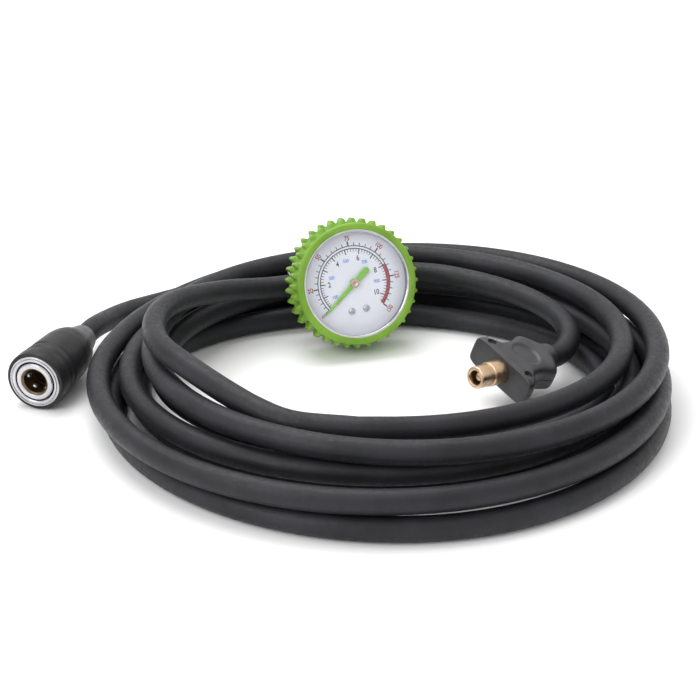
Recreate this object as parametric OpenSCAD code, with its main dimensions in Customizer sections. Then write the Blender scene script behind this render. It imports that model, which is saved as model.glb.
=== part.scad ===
// Tyre inflator: an air hose laid in a pile, with a socket coupler on one end,
// a winged valve chuck on the other and a pressure gauge in line near the chuck.
// Frame: +Z up from the floor, the gauge faces -Y, its hose fitting runs along X.

/* [Hose] */
// Outside diameter of the hose
hose_d = 12.5; // [12:0.1:13]
// Bore of the hose
hose_bore = 6.5; // [5:0.5:8]
// Height from one layer of the pile to the next
layer_step = 12.95; // [12.95:0.05:15]

/* [Pile] */
// Half width of the outermost loop on the floor
outer_half_w = 153; // [153:1:200]
// Half width of the innermost loop on the floor
inner_half_w = 121.7; // [112:0.1:121.7]
// Half width of the second layer where it starts, inside
second_half_w = 121.8; // [114:0.2:121.8]
// Half width of the top layer where it starts, outside
top_half_w = 143.8; // [143.8:0.2:200]
// Half width of the top layer where the last loop leaves it
last_half_w = 121.9; // [112:0.1:121.9]

/* [Gauge] */
// Diameter of the gauge's bezel ring
bezel_d = 64.4; // [54:0.2:80]
// Depth of the steel case behind the bezel
case_depth = 25; // [22:0.5:32]
// Radial height from the case to the lugs' tips
boot_wall = 4.6; // [4.2:0.1:5.6]
// Depth of the rubber boot
boot_depth = 24; // [20:0.5:30]
// Number of tread lugs round the boot
lug_count = 40; // [24:1:48]
// Angle by which the gauge leans back
gauge_lean = 18.6; // [5:0.1:30]
// Pointer length from the spindle to the tip
pointer_len = 25; // [18:0.5:26]
// Tail length of the pointer, behind the spindle
pointer_tail = 11.6; // [8:0.2:13]
// Pitch radius of the sector gear
sector_r = 12; // [10:0.5:12.5]

/* [Tee] */
// Radius of the tee's run
tee_r = 7.6; // [7:0.1:9]
// Half length of the tee's run
tee_half = 11; // [10:0.5:16]
// Length of each crimp ferrule
ferrule_len = 20; // [16:0.5:26]
// Outside radius of the ferrules
ferrule_r = 8.2; // [7.8:0.1:9]
// Distance from the boot's front face back to the tee's run
tee_back = 38.5; // [37:0.5:48]

/* [Coupler] */
// Outside diameter of the coupler's sleeve
sleeve_d = 32.6; // [31.6:0.2:34]
// Length of the sleeve
sleeve_len = 46; // [45:0.5:54]
// Bore that takes the plug
plug_bore = 13.2; // [12.8:0.1:13.6]
// Pull of the sleeve
sleeve_pull = 5; // [4:0.5:6]
// Diameter of each locking ball
ball_d = 3.8; // [3.4:0.1:4]
// Number of locking balls
ball_count = 6; // [6]
// Whole length of the coupler with its ferrule
coupler_len = 60; // [59:1:80]
// Angle of the coupler's mouth, to the left of -Y
coupler_turn = 33; // [20:1:34]

/* [Chuck] */
// Width of the grip's front plate, wing to wing
wing_w = 44; // [38:0.5:50]
// Thickness of the grip
grip_t = 17; // [17:0.2:22]
// Length of the grip's wide part
grip_len = 31; // [29:0.5:40]
// Length of the tapered tail of the grip
grip_tail = 8; // [6:0.5:12]
// Length of the brass nozzle in front of the grip
nozzle_len = 19; // [17:0.5:26]
// Radius of the nozzle's threaded bore
nozzle_bore_r = 3.9; // [3.8:0.05:4]
// Travel of the sprung valve pin
pin_travel = 1.5; // [1:0.1:2]

/* [Hidden] */
$fn = 64;
fit = 0.05;            // running clearance between turned pieces, radially
gap = 0.3;             // clearance of soft pieces and loose covers
hose_r = hose_d / 2;
barb_r = hose_bore / 2;

// ---- the gauge's place: its face centre, leaning back, boot edge on the floor ----
bezel_r = bezel_d / 2;
boot_r = bezel_r + boot_wall;
boot_front_r = boot_r - 3.5;
tee_reach = tee_back * cos(gauge_lean) + ferrule_r;
gauge_y = (boot_front_r * sin(gauge_lean) - tee_reach) / 2;
gauge_z = boot_r * cos(gauge_lean) + boot_depth * sin(gauge_lean);
tee_y = gauge_y + tee_back * cos(gauge_lean);
tee_z = gauge_z - tee_back * sin(gauge_lean);
tee_end = tee_half + ferrule_len;

// ---- the pile's own frame: x to the right, y to the back, turned against the part ----
pile_at = [-3, -74];
pile_turn = 15.7;
function pile(p) = [pile_at[0] + p[0] * cos(pile_turn) + p[1] * sin(pile_turn),
    pile_at[1] - p[0] * sin(pile_turn) + p[1] * cos(pile_turn), p[2]];

// ---- points and tubes ----
function unit(v) = v / norm(v);
function smooth(t) = t * t * (3 - 2 * t);
function heading(p, i) = unit(p[min(i + 1, len(p) - 1)] - p[max(i - 1, 0)]);
function ring_at(c, t, r, sides) = let (n = unit(cross([0, 0, 1], t)), b = cross(t, n))
    [for (k = [0 : sides - 1]) c + r * (n * sin(k * 360 / sides) - b * cos(k * 360 / sides))];
function path_len(p) = len(p) < 2 ? 0 : sum_seg(p, len(p) - 2);
function sum_seg(p, i) = i < 0 ? 0 : norm(p[i + 1] - p[i]) + sum_seg(p, i - 1);

// A closed tube of many sides along points; its two end rings stand square to the end runs.
module tube(path, r, sides) {
    last = len(path) - 1;
    points = [for (i = [0 : last]) each ring_at(path[i], heading(path, i), r, sides)];
    walls = [for (i = [0 : last - 1], k = [0 : sides - 1], half = [0, 1])
        let (a = i * sides + k, b = i * sides + (k + 1) % sides)
        half == 0 ? [a, b, b + sides] : [a, b + sides, a + sides]];
    near_end = [for (k = [1 : sides - 2]) [0, k + 1, k]];
    far_end = [for (k = [1 : sides - 2]) [last * sides, last * sides + k, last * sides + k + 1]];
    caps = [for (f = near_end) f, for (f = far_end) f];
    polyhedron(points, [for (f = concat(walls, caps)) [f[0], f[2], f[1]]], convexity = 20);
}

// ---- the coil: in over the floor, out on the second layer, in again on the top ----
// Turns are counted from the right; each climb takes the half turn between two layers.
turns_in = 2;
turns_out = 4.5;
floor_z = hose_r;
start_turn = -0.25;
end_turn = 6.25;
rings_per_loop = 24;
climb = 0.5;
width_rows = [[start_turn, outer_half_w], [turns_in, inner_half_w],
    [turns_in + climb, second_half_w], [turns_out, outer_half_w - 0.6],
    [turns_out + climb, top_half_w], [end_turn, last_half_w]];
centre_rows = [[turns_in, -1.4], [turns_in + climb, 3.2], [turns_out, 1.9],
    [turns_out + climb, 3.1], [turns_out + 1, 13.6], [end_turn, -2.5]];
back_rows = [[start_turn, 160], [turns_in, 88.8], [turns_in + climb, 109.4],
    [turns_out, 142.5], [turns_out + climb, 145.6], [end_turn, 110.5]];
front_rows = [[start_turn, -170.6], [turns_in, -75.7], [turns_in + climb, -99.7],
    [turns_out, -153.9], [turns_out + climb, -129.7], [end_turn, -100]];
function climbed(s, from) = smooth(max(0, min(1, (s - from) / climb)));
function coil_z(s) = floor_z + layer_step * (climbed(s, turns_in) + climbed(s, turns_out));
function coil_point(s) = let (a = 360 * (s - start_turn), b = lookup(s, back_rows),
    f = lookup(s, front_rows))
    [lookup(s, centre_rows) + lookup(s, width_rows) * sin(a),
    (b + f) / 2 + (b - f) / 2 * cos(a), coil_z(s)];
coil_run = [for (i = [0 : (end_turn - start_turn) * rings_per_loop])
    pile(coil_point(start_turn + i / rings_per_loop))];
coil_last = len(coil_run) - 1;
coil_in = unit(pile(coil_point(start_turn + 0.001)) - coil_run[0]);
coil_out = unit(coil_run[coil_last] - pile(coil_point(end_turn - 0.001)));
coil_start = coil_run[0] - coil_in * hose_d;
coil_end = coil_run[coil_last] + coil_out * hose_d;
coil_path = concat([coil_start], coil_run, [coil_end]);
apart = rings_per_loop / 2;
self_gap = min([for (i = [0 : coil_last - apart], j = [i + apart : coil_last])
    norm(coil_run[i] - coil_run[j])]) - hose_d;
echo(coil_self_gap = self_gap, coil_length = path_len(coil_path));

// ---- places of the coupler's mouth and the chuck's front plate ----
mouth_at = [-184.5, -40, sleeve_d / 2 + 0.1];
coupler_axis = [-sin(coupler_turn), -cos(coupler_turn), 0];
chuck_at = [53, -104.4, 21.6];
chuck_turn = 62.8;
chuck_pitch = 7;
chuck_roll = 19;
chuck_axis = [-sin(chuck_turn) * cos(chuck_pitch), -cos(chuck_turn) * cos(chuck_pitch),
    sin(chuck_pitch)];

// ---- free stretches of the hose: chosen points in the pile's frame ----
lead_points = [[-154.5, 76.5, 12.5], [-146.5, 92, 10], [-137, 105, 7.8], [-125, 117, 6.5],
    [-109, 130, 6.25], [-91, 141.5, 6.25], [-72, 150.5, 6.25], [-52, 156.5, 6.25],
    [-38, 159, 6.25]];
top_points = [[-46, -94.5, 33], [-62, -86, 35.4], [-77, -75, 39], [-91, -62.5, 42.4],
    [-103, -49.5, 44.6], [-112.5, -36.5, 45.6], [-118.2, -21.5, 45.8], [-120.2, -5, 45.8],
    [-118.6, 10.5, 45.4], [-113.6, 25, 44], [-105.8, 38.5, 41.7], [-96, 50.8, 38.8],
    [-85.2, 62, 35.8], [-74.2, 71.2, 32.8], [-63.6, 78, 30.7]];
outlet_points = [[19, 101, 30.5], [36, 97, 30.9], [49, 90.5, 31], [61, 83, 31],
    [78, 71.5, 30], [92, 58.5, 28], [101, 47, 25.2], [104.8, 36.5, 21.6], [103.2, 27, 18.5],
    [98, 19.2, 16.4]];
adapter_z = 42;            // the lead hose ends here, behind the coupler's mouth
stem_z = 18;               // the outlet hose ends here, behind the chuck's front plate
lead_path = concat(
    [for (d = [adapter_z, coupler_len, coupler_len + hose_d]) mouth_at - coupler_axis * d],
    [for (p = lead_points) pile(p)], [coil_start - coil_in * hose_d, coil_start]);
top_path = concat([coil_end, coil_end + coil_out * hose_d], [for (p = top_points) pile(p)],
    [for (x = [tee_end, tee_half]) [-x, tee_y, tee_z]]);
outlet_path = concat(
    [for (x = [tee_half, tee_end]) [x, tee_y, tee_z]],
    [for (p = outlet_points) pile(p)],
    [for (d = [grip_len + grip_tail, grip_len, stem_z]) chuck_at - chuck_axis * d]);
echo(lead_length = path_len(lead_path), top_run_length = path_len(top_path),
    outlet_length = path_len(outlet_path));

// ---- small helpers ----
module turned(profile) { rotate_extrude() polygon(profile); }
module sleeve_of(r_in, r_out, z_low, z_high) {
    turned([[r_in, z_low], [r_out, z_low], [r_out, z_high], [r_in, z_high]]);
}
module post(r, z_low, z_high) { translate([0, 0, z_low]) cylinder(r = r, h = z_high - z_low); }
module on_gauge() {
    translate([0, gauge_y, gauge_z]) rotate([90 - gauge_lean, 0, 0]) children();
}
module on_dial() { on_gauge() rotate([0, 0, dial_turn]) children(); }
module on_tee() { translate([0, tee_y, tee_z]) rotate([0, 90, 0]) children(); }
module on_coupler() {
    translate(mouth_at) rotate([90, 0, -coupler_turn]) children();
}
module on_chuck() {
    translate(chuck_at) rotate([90, 0, -chuck_turn]) rotate([-chuck_pitch, 0, 0])
        rotate([0, 0, -chuck_roll]) children();
}

// ---- gauge: z is 0 at the boot's front face and falls towards the case's back ----
dial_turn = 6;
pointer_rest = 144;              // the pointer at zero, clockwise from the dial's right
lip = 0.8;                       // the boot's front lip hides this much of the bezel
case_r = bezel_r - 0.7;
case_wall = 0.8;
case_back = -1 - case_depth;
lens_r = case_r - case_wall;
bezel_front = -0.9;
bezel_sheet = 0.6;
lens_front = bezel_front - bezel_sheet;
lens_t = 1.6;
gasket_t = 0.8;
case_front = lens_front - lens_t - gasket_t;
dial_z = -8.6;
dial_t = 0.6;
dial_r = case_r - case_wall - 0.4;
movement_front = -12;
plate_t = 1;
movement_back = -19;
spindle_r = 0.8;
pointer_t = 0.5;
pointer_z = dial_z + dial_t + 1.2;
pinion_teeth = 10;
sector_ratio = 10;
pinion_r = sector_r / sector_ratio;
pivot = [0, -sector_r - pinion_r];  // the sector's shaft stands below the spindle
sector_swing = 26.2;
gear_z = -15.6;
gear_t = 1.1;
tube_ring_r = 21;
tube_w = 7;
tube_t = 2.6;
tube_low = -18.6;
tube_start = -86;                // the tube runs from its root clockwise to its tip at 0
socket_arm_w = 9;
stem_r = 5;
stem_end = case_back - 7;
washer_t = 1.2;
branch_r = 7;
branch_top = case_back - washer_t;
screw_x = 4.3;
screw_y = -15.5;

// Rubber boot: a ring with a smooth front shoulder and two rows of tread lugs.
module green_boot() color("yellowgreen") on_gauge() {
    lug_w = 360 / lug_count * 0.5;
    root = boot_r - 2.8;
    inner = bezel_r + fit;
    turned([[inner, -boot_depth], [root, -boot_depth], [root, -3.2], [root - 0.5, -1.2],
        [boot_front_r, 0], [bezel_r - lip, 0], [bezel_r - lip, bezel_front + fit],
        [inner, bezel_front + fit]]);
    for (i = [0 : lug_count - 1])
        rotate([0, 0, i * 360 / lug_count - 90])
            for (row = [0, 1])
                rotate([0, 0, row * 180 / lug_count])
                    translate([root - 0.3, -lug_w * boot_r * PI / 360, row == 0 ? -boot_depth : -12.4])
                        cube([boot_r - root + 0.3, lug_w * boot_r * PI / 180, 9.4]);
}

// Steel case: an open cup whose back takes the stem and two screws.
module gauge_case() color("dimgray") on_gauge() difference() {
    post(case_r, case_back, case_front);
    post(case_r - case_wall, case_back + case_wall, case_front + 1);
    post(stem_r + fit, case_back - 1, case_back + 2);
    for (x = [-1, 1]) translate([x * 10.2, 0, 0]) post(1.6, case_back - 1, case_back + 2);
}

// Bright ring rolled over the case's edge; it holds the lens.
module bezel_ring() color("silver") on_gauge()
    turned([[lens_r - 1.2, bezel_front], [bezel_r - 0.5, bezel_front],
        [bezel_r, bezel_front - 0.5], [bezel_r, bezel_front - 9],
        [case_r + fit, bezel_front - 9], [case_r + fit, lens_front], [lens_r - 1.2, lens_front]]);

module lens() color("lightcyan", 0.4) on_gauge() post(lens_r - fit, lens_front - lens_t, lens_front);

module lens_gasket() color("black") on_gauge()
    sleeve_of(lens_r - 1.4, case_r - fit, case_front, lens_front - lens_t);

module dial_plate() color("white") on_gauge() difference() {
    post(dial_r, dial_z, dial_z + dial_t);
    post(2, dial_z - 1, dial_z + 2);
    rotate([0, 0, dial_turn]) for (x = [-1, 1]) translate([x * screw_x, screw_y, 0])
        post(1.05, dial_z - 1, dial_z + 2);
    rotate([0, 0, dial_turn - pointer_rest]) translate([15, 1.15, 0]) post(0.45, dial_z - 1, dial_z + 2);
}

// Two pan-head screws hold the dial to the socket's arm.
module dial_screws() color("silver") on_dial()
    for (x = [-1, 1]) translate([x * screw_x, screw_y, 0]) {
        turned([[0, dial_z + dial_t], [2, dial_z + dial_t], [1.9, dial_z + dial_t + 0.7],
            [1.2, dial_z + dial_t + 1.2], [0, dial_z + dial_t + 1.3]]);
        post(1, dial_z - 3.4, dial_z + dial_t + 0.1);
    }

module stop_pin() color("gold") on_dial() rotate([0, 0, -pointer_rest]) translate([15, 1.15, 0])
    post(0.4, dial_z - 0.4, pointer_z + 1);

// Pointer at zero: a slim blade and a thick blunt tail.
module pointer() color("limegreen") on_dial() rotate([0, 0, -pointer_rest])
    translate([0, 0, pointer_z]) difference() {
        union() {
            linear_extrude(pointer_t) polygon([[1.5, 1.1], [pointer_len - 3, 0.5],
                [pointer_len, 0], [pointer_len - 3, -0.5], [1.5, -1.1]]);
            linear_extrude(pointer_t) polygon([[-1.5, -1], [-1.5, 1], [1.5 - pointer_tail, 1.45],
                [0.5 - pointer_tail, 1.2], [-pointer_tail, 0.5], [-pointer_tail, -0.5],
                [0.5 - pointer_tail, -1.2], [1.5 - pointer_tail, -1.45]]);
            cylinder(r = 2.3, h = pointer_t);
        }
        translate([0, 0, -1]) cylinder(r = 1.2, h = 3);
    }

module pointer_hub() color("darkgoldenrod") on_dial() difference() {
    turned([[0, pointer_z - 0.4], [1.15, pointer_z - 0.4], [1.15, pointer_z + pointer_t],
        [2.5, pointer_z + pointer_t], [2.5, pointer_z + pointer_t + 0.9],
        [2.2, pointer_z + pointer_t + 1.2], [0, pointer_z + pointer_t + 1.2]]);
    post(spindle_r * 0.8, pointer_z - 1, pointer_z + 0.3);
}

// Spindle with the pinion cut on it.
module pointer_spindle() color("silver") on_dial() {
    post(spindle_r, movement_back + plate_t + 0.1, pointer_z - 0.5);
    post(spindle_r * 0.75, pointer_z - 0.6, pointer_z + 0.25);
    post(spindle_r * 0.6, movement_back + 0.2, movement_back + plate_t + 0.2);
    translate([0, 0, gear_z - 0.4]) linear_extrude(gear_t + 0.8)
        gear_shape(pinion_r - 0.33, pinion_r + 0.22);
}

// Plain tapered teeth on the pinion's disc.
module gear_shape(root, tip) {
    circle(root);
    for (i = [0 : pinion_teeth - 1]) rotate([0, 0, (i + 0.5) * 360 / pinion_teeth])
        polygon([[root - 0.2, 0.19], [tip, 0.1], [tip, -0.1], [root - 0.2, -0.19]]);
}

// Flat hairspring that takes up the backlash, wound round the spindle.
module hairspring() color("goldenrod") on_dial() {
    coil = [for (a = [0 : 20 : 1440]) (1.6 + a * 0.0022) * [cos(a), sin(a)]];
    thick = 0.16;
    rim = [for (i = [len(coil) - 1 : -1 : 0]) coil[i] * (1 + thick / norm(coil[i]))];
    translate([0, 0, movement_back + plate_t + 0.4]) {
        linear_extrude(0.5) polygon(concat(coil, rim));
        sleeve_of(spindle_r + fit, 1.7, 0, 0.5);
    }
}

// Toothed sector on its shaft, with a tail that the link pulls.
tail_r = 5.3;
tail_turn = -sector_swing / 2;
sector_rest = 90 - sector_swing / 2;
tooth_turn = 360 / (pinion_teeth * sector_ratio);
module sector_gear() color("gold") on_dial() translate([pivot[0], pivot[1], gear_z])
    difference() {
        linear_extrude(gear_t) union() {
            circle(2.4);
            intersection() {
                difference() {
                    circle(sector_r - 0.3);
                    circle(sector_r - 2);
                }
                polygon([[0, 0], for (a = [-24 : 6 : 24])
                    1.5 * sector_r * [cos(sector_rest + a), sin(sector_rest + a)]]);
            }
            for (a = [-16, 14]) rotate([0, 0, sector_rest + a])
                translate([0, -0.7]) square([sector_r - 1, 1.4]);
            for (i = [-8 : 2]) rotate([0, 0, 90 + (i - 0.5) * tooth_turn])
                polygon([[sector_r - 0.7, -0.16], [sector_r + 0.2, -0.09],
                    [sector_r + 0.2, 0.09], [sector_r - 0.7, 0.16]]);
            rotate([0, 0, tail_turn]) translate([0, -0.8]) square([tail_r, 1.6]);
            rotate([0, 0, tail_turn]) translate([tail_r, 0]) circle(1.4);
        }
        post(1 + fit, -1, 3);
        rotate([0, 0, tail_turn]) translate([tail_r, 0, 0]) post(0.75, -1, 3);
    }

module sector_shaft() color("silver") on_dial() translate([pivot[0], pivot[1], 0])
    post(1, movement_back + 0.1, movement_front + plate_t - 0.1);

pillar_spots = [[-7.4, 6.4], [7.4, 6.4]];
module movement_plate(z, hole) translate([0, 0, z]) linear_extrude(plate_t) difference() {
    translate([-9, -17.3]) square([18, 25.3]);
    circle(hole + fit);
    translate(pivot) circle(1 + fit);
    for (p = pillar_spots) translate(p) circle(0.8 + fit);
}

// The front plate carries two bosses that the dial rests on and its screws go into.
module movement_front_plate() color("gold") on_dial() difference() {
    union() {
        movement_plate(movement_front, spindle_r);
        for (x = [-1, 1]) translate([x * screw_x, screw_y, 0])
            post(1.9, movement_front + plate_t - 0.1, dial_z);
    }
    for (x = [-1, 1]) translate([x * screw_x, screw_y, 0]) post(1, movement_front - 1, dial_z + 1);
}

module movement_back_plate() color("gold") on_dial() movement_plate(movement_back, spindle_r * 0.6);

module movement_pillars() color("gold") on_dial() for (p = pillar_spots)
    translate([p[0], p[1], 0]) {
        post(1.5, movement_back + plate_t, movement_front);
        post(0.8, movement_back + 0.1, movement_front + plate_t + 0.4);
        turned([[0, movement_front + plate_t], [1.4, movement_front + plate_t],
            [1.4, movement_front + plate_t + 0.7], [0, movement_front + plate_t + 0.7]]);
    }

// Link from the sector's tail up to the tube's tip, lying over the sector.
link_z = gear_z + gear_t + 0.15;
tail_pin = pivot + tail_r * [cos(tail_turn), sin(tail_turn)];
tip_pin = [tube_ring_r - 4.5, -1.5];
module link() color("silver") on_dial() {
    span = tip_pin - tail_pin;
    difference() {
        translate([tail_pin[0], tail_pin[1], link_z]) rotate([0, 0, atan2(span[1], span[0])])
            linear_extrude(0.6) union() {
                circle(1.2);
                translate([0, -0.6]) square([norm(span), 1.2]);
                translate([norm(span), 0]) circle(1.2);
            }
        translate([tip_pin[0], tip_pin[1], 0]) post(0.55, link_z - 1, link_z + 2);
    }
    translate([tail_pin[0], tail_pin[1], 0]) post(0.5, gear_z + 0.1, link_z + 0.3);
}

// Flattened tube bent round the movement, from the socket to the link's side.
module bourdon_tube() color("darkgoldenrod") on_dial() bourdon_ring(360 + tube_start);
module bourdon_ring(sweep) translate([0, 0, tube_low])
    rotate([0, 0, sweep < 100 ? tube_start - sweep : 0]) rotate_extrude(angle = sweep)
        translate([tube_ring_r - tube_t / 2, 0]) square([tube_t, tube_w]);

// Cap over the tube's end; the tube's flexing moves it towards the dial's top.
cap_play = 0.5;
cap_wall = 0.5;
module tube_tip() color("darkgoldenrod") on_dial() {
    in_w = tube_t + 2 * cap_play;
    in_h = tube_w + 2 * cap_play;
    difference() {
        translate([tube_ring_r - in_w / 2 - cap_wall, -3.2, tube_low - cap_play - cap_wall])
            cube([in_w + 2 * cap_wall, 4.2, in_h + 2 * cap_wall]);
        translate([tube_ring_r - in_w / 2, -2.7, tube_low - cap_play]) cube([in_w, 6, in_h]);
    }
    translate([tip_pin[0] - 1.2, tip_pin[1] - 1.2, link_z + 0.7])
        cube([tube_ring_r - in_w / 2 - tip_pin[0] + 1, 2.4, 0.7]);
    translate([tip_pin[0], tip_pin[1], 0]) post(0.5, link_z - 0.1, link_z + 1);
}

// Brass socket: block under the movement, arm to the tube's root, stem out of the back.
module gauge_socket() color("goldenrod") on_gauge() difference() {
    block_low = case_back + case_wall;
    union() {
        rotate([0, 0, dial_turn]) {
            translate([-12, -6.5, block_low]) cube([24, 13, 4.2]);
            translate([-socket_arm_w, -21.4, block_low])
                cube([2 * socket_arm_w, 17, movement_back - block_low]);
            translate([-socket_arm_w / 2, -24.2, block_low])
                cube([socket_arm_w, 6, tube_low + tube_w - block_low + 1]);
        }
        post(stem_r, stem_end, block_low + 1);
    }
    rotate([0, 0, dial_turn]) bourdon_ring(30);
    post(1.6, stem_end - 1, block_low + 3);
    for (x = [-1, 1]) translate([x * 10.2, 0, 0]) post(1.25, case_back, case_back + 4);
}

module case_screws() color("silver") on_gauge() for (x = [-1, 1]) translate([x * 10.2, 0, 0]) {
    post(1.25, case_back - 0.1, case_back + 3.9);
    turned([[0, case_back], [2.6, case_back], [2, case_back - 1], [0, case_back - 1.2]]);
}

module stem_washer() color("firebrick") on_gauge()
    sleeve_of(stem_r + fit, branch_r, branch_top, case_back);

// ---- tee and ferrules ----
module brass_tee() color("goldenrod") difference() {
    union() {
        on_tee() post(tee_r, -tee_half, tee_half);
        for (s = [-1, 1]) on_tee() scale_x(s) {
            post(barb_r + 0.1, tee_half - 0.1, tee_end - 3);
            for (z = [3 : 4 : 13]) translate([0, 0, tee_half + z])
                turned([[0, 0], [barb_r + 0.6, 0], [barb_r, 2.4], [0, 2.4]]);
        }
        on_gauge() post(branch_r, -tee_back, branch_top);
    }
    on_tee() post(1.7, -tee_end, tee_end);
    on_gauge() post(1.7, -tee_back, stem_end);
    on_gauge() post(stem_r + 0.02, stem_end - 0.2, branch_top + 1);
}
module scale_x(s) { rotate([s < 0 ? 180 : 0, 0, 0]) children(); }

module crimp(z_low, len, r_out) {
    rows = 3;
    pitch = len / (rows + 1);
    difference() {
        sleeve_of(hose_r + fit, r_out, z_low, z_low + len);
        for (i = [1 : rows]) translate([0, 0, z_low + i * pitch - 0.8])
            sleeve_of(r_out - 0.5, r_out + 1, 0, 1.6);
    }
}
module left_ferrule() color("silver") on_tee() scale_x(-1) crimp(tee_half, ferrule_len, ferrule_r);
module right_ferrule() color("silver") on_tee() crimp(tee_half, ferrule_len, ferrule_r);

// ---- hose ----
module hose_lead() color([0.16, 0.16, 0.17]) tube(lead_path, hose_r, 8);
module hose_coil() color([0.18, 0.18, 0.19]) tube(coil_path, hose_r, 6);
module hose_top_run() color([0.2, 0.2, 0.21]) tube(top_path, hose_r, 8);
module hose_outlet() color([0.22, 0.22, 0.23]) tube(outlet_path, hose_r, 8);

// ---- coupler: z is 0 at the mouth and falls towards the hose ----
sleeve_r = sleeve_d / 2;
plug_r = plug_bore / 2;
ball_r = ball_d / 2;
ball_z = -7;
ball_at = plug_r + 0.7;
ball_push = 1.2;
land_r = ball_at + ball_r + 0.05;
body_r = land_r - 0.35;
nose_r = land_r + 1.2;
release_r = land_r + ball_push + 0.75;
ring_len = 11;
ring_r = sleeve_r - 1.9;
flange_r = ring_r - 1.6;
flange_z = -26;
flange_t = 4;
body_end = -38;
seal_z = -12.5;
seat_z = -17;

module coupler_sleeve() color([0.1, 0.1, 0.11]) on_coupler() difference() {
    turned([[ring_r, -0.4], [sleeve_r - 0.4, -0.4], [sleeve_r, -1.2], [sleeve_r, -9],
        [sleeve_r - 0.6, -9.6], [sleeve_r - 0.6, -12], [sleeve_r, -12.6], [sleeve_r, -15],
        [sleeve_r - 0.6, -15.6], [sleeve_r - 0.6, -18], [sleeve_r, -18.6],
        [sleeve_r, -sleeve_len + 12], [sleeve_r - 0.8, -sleeve_len + 6],
        [sleeve_r - 2.4, -sleeve_len], [coupler_neck_r + 0.4, -sleeve_len],
        [coupler_neck_r + 0.4, -sleeve_len + 4], [flange_r + 0.2, -sleeve_len + 8],
        [flange_r + 0.2, -ring_len], [ring_r, -ring_len]]);
}

module sleeve_face_ring() color("silver") on_coupler()
    turned([[release_r, 0], [ring_r - 0.6, 0], [ring_r, -0.6], [ring_r, -ring_len],
        [land_r, -ring_len], [land_r, ball_z - 0.5], [release_r, ball_z + 4.5]]);

module coupler_body() color("goldenrod") on_coupler() difference() {
    turned([[plug_r + 0.8, 0], [nose_r - 0.4, 0], [nose_r, -0.4], [nose_r, -2], [body_r, -2.4],
        [body_r, flange_z], [flange_r, flange_z], [flange_r, flange_z - flange_t],
        [9.5, flange_z - flange_t], [9.5, body_end], [8, body_end], [8, -31],
        [5.2, -30], [5.2, seat_z - 2], [3.4, seat_z - 2], [3.4, seat_z], [plug_r + 0.3, seat_z],
        [plug_r + 0.3, -5], [plug_r, -5], [plug_r, -0.8]]);
    sleeve_of(plug_r - 1, plug_r + 1.2, seal_z - 1.2, seal_z + 1.2);
    for (i = [0 : ball_count - 1]) rotate([0, 0, i * 360 / ball_count]) translate([0, 0, ball_z])
        rotate([0, 90, 0]) cylinder(r = ball_r + fit, h = nose_r + 2);
}

module sleeve_spring() color("silver") on_coupler()
    sleeve_of(body_r + 0.15, flange_r - 0.3, flange_z + 0.1, -ring_len - 0.1);

module lock_ball(i) color("silver") on_coupler() rotate([0, 0, (i - 1) * 360 / ball_count])
    translate([ball_at, 0, ball_z]) sphere(ball_r);

module bore_seal() color("black") on_coupler()
    sleeve_of(plug_r - 0.2, plug_r + 1.15, seal_z - 1.1, seal_z + 1.1);

// Poppet: its nose stands through the seat ring, its disc shuts against the ring's back.
module valve_poppet() color("gold") on_coupler()
    turned([[0, seat_z + 1.6], [2.6, seat_z + 1.6], [3.1, seat_z + 1], [3.1, seat_z - 2.05],
        [4.7, seat_z - 2.05], [4.7, seat_z - 4], [2.2, seat_z - 4], [2.2, -38], [0, -38]]);

module poppet_spring() color("silver") on_coupler() sleeve_of(2.5, 3.6, -36.9, seat_z - 4.1);

// Threaded adapter that closes the body's back and carries the hose barb.
module hose_adapter() color("goldenrod") on_coupler() difference() {
    union() {
        post(7.9, -40, -37);
        translate([0, 0, -adapter_z]) cylinder(r = 9, h = adapter_z + body_end - 0.1, $fn = 6);
        post(barb_r + 0.1, -coupler_len + 4, -adapter_z + 0.1);
        for (z = [4 : 4 : 12]) translate([0, 0, -adapter_z - z - 2.4])
            turned([[0, 0], [barb_r, 0], [barb_r + 0.6, 2.4], [0, 2.4]]);
    }
    post(1.7, -coupler_len, -36);
    post(2.4, -43, -36);
}

coupler_neck_r = 10.2;
module coupler_ferrule() color([0.35, 0.35, 0.36]) on_coupler()
    turned([[hose_r + fit, -coupler_len], [hose_r + 1.4, -coupler_len],
        [coupler_neck_r - 1, -coupler_len + 8], [coupler_neck_r, -coupler_len + 13],
        [coupler_neck_r, -adapter_z - 0.1], [hose_r + fit, -adapter_z - 0.1]]);

// ---- chuck: z is 0 at the grip's front plate and grows towards the nozzle's tip ----
nozzle_r = 6;
collar_r = 6.6;
shank_r = 5.2;
shank_end = -14;
flange_pocket_r = 6.8;
rear_w = 33;
waist_w = 27;
cavity_r = 7.25;
cavity_end = -22;

module grip_outline() {
    half = wing_w / 2;
    tail_half = hose_r + 3;
    polygon([[-half + 3, 0], [half - 3, 0], [half - 0.6, -1], [half, -3], [half - 0.8, -5.5],
        [half - 3.5, -7.5], [waist_w / 2 + 0.8, -11], [waist_w / 2, -15],
        [waist_w / 2 + 0.6, -19], [rear_w / 2 - 1, -24], [rear_w / 2, -27],
        [rear_w / 2 - 1.5, -29.5], [tail_half + 3, -grip_len], [tail_half, -grip_len - 3],
        [tail_half - 1, -grip_len - grip_tail],
        [1 - tail_half, -grip_len - grip_tail], [-tail_half, -grip_len - 3],
        [-tail_half - 3, -grip_len], [1.5 - rear_w / 2, -29.5], [-rear_w / 2, -27],
        [1 - rear_w / 2, -24], [-waist_w / 2 - 0.6, -19], [-waist_w / 2, -15],
        [-waist_w / 2 - 0.8, -11], [3.5 - half, -7.5], [0.8 - half, -5.5], [-half, -3],
        [0.6 - half, -1]]);
}
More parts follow.
